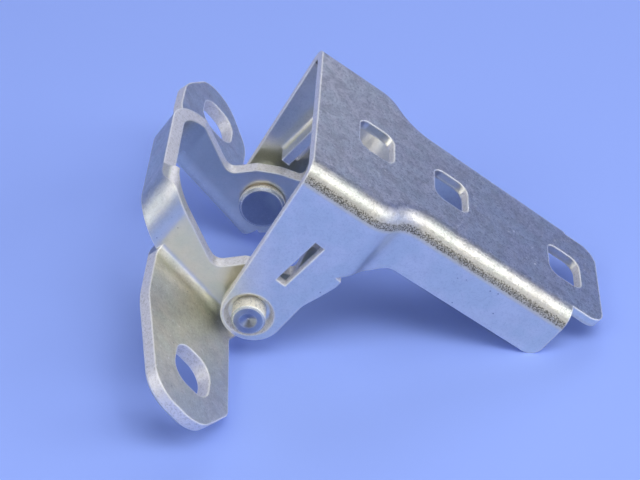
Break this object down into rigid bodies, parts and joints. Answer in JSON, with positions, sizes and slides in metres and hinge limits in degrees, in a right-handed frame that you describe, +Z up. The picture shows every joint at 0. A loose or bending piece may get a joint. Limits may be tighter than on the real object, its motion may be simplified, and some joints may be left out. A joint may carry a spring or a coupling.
{
  "type": "car door hinge",
  "caption": "Pressed-steel car door hinge: a U-shaped pillar leaf with staggered mounting feet and a channel-shaped door leaf turn on short headed pins, with bent-in stops that limit the swing.",
  "frame": {"origin": "middle of the bounding box at its lowest plane, where the opened hinge rests", "axes": "+X from the pillar leaf towards the door leaf, +Y along the hinge axis, +Z up from the surface on which the opened hinge rests"},
  "size_m": [0.145, 0.1712, 0.0711],
  "materials": {
    "door_steel": "bluish zinc-plated pressed steel, matt and slightly grainy",
    "pillar_steel": "slightly warmer zinc-plated pressed steel, matt",
    "pin_steel": "darker plated steel, smooth, with a bright rim",
    "bush_bronze": "dull bronze"
  },
  "bodies": {
    "pillar": {"pillar_leaf": "pillar_steel", "lower_inner_bush": "bush_bronze", "lower_outer_bush": "bush_bronze", "upper_inner_bush": "bush_bronze", "upper_outer_bush": "bush_bronze"},
    "door": {"door_leaf": "door_steel", "lower_pin": "pin_steel", "upper_pin": "pin_steel"}
  },
  "joints": [
    {"name": "door_swing", "type": "hinge", "parent": "pillar", "child": "door", "pos_m": [-0.03788, 0, 0.01725], "axis": [0, -1, 0], "range_deg": [-5, 61]}
  ]
}
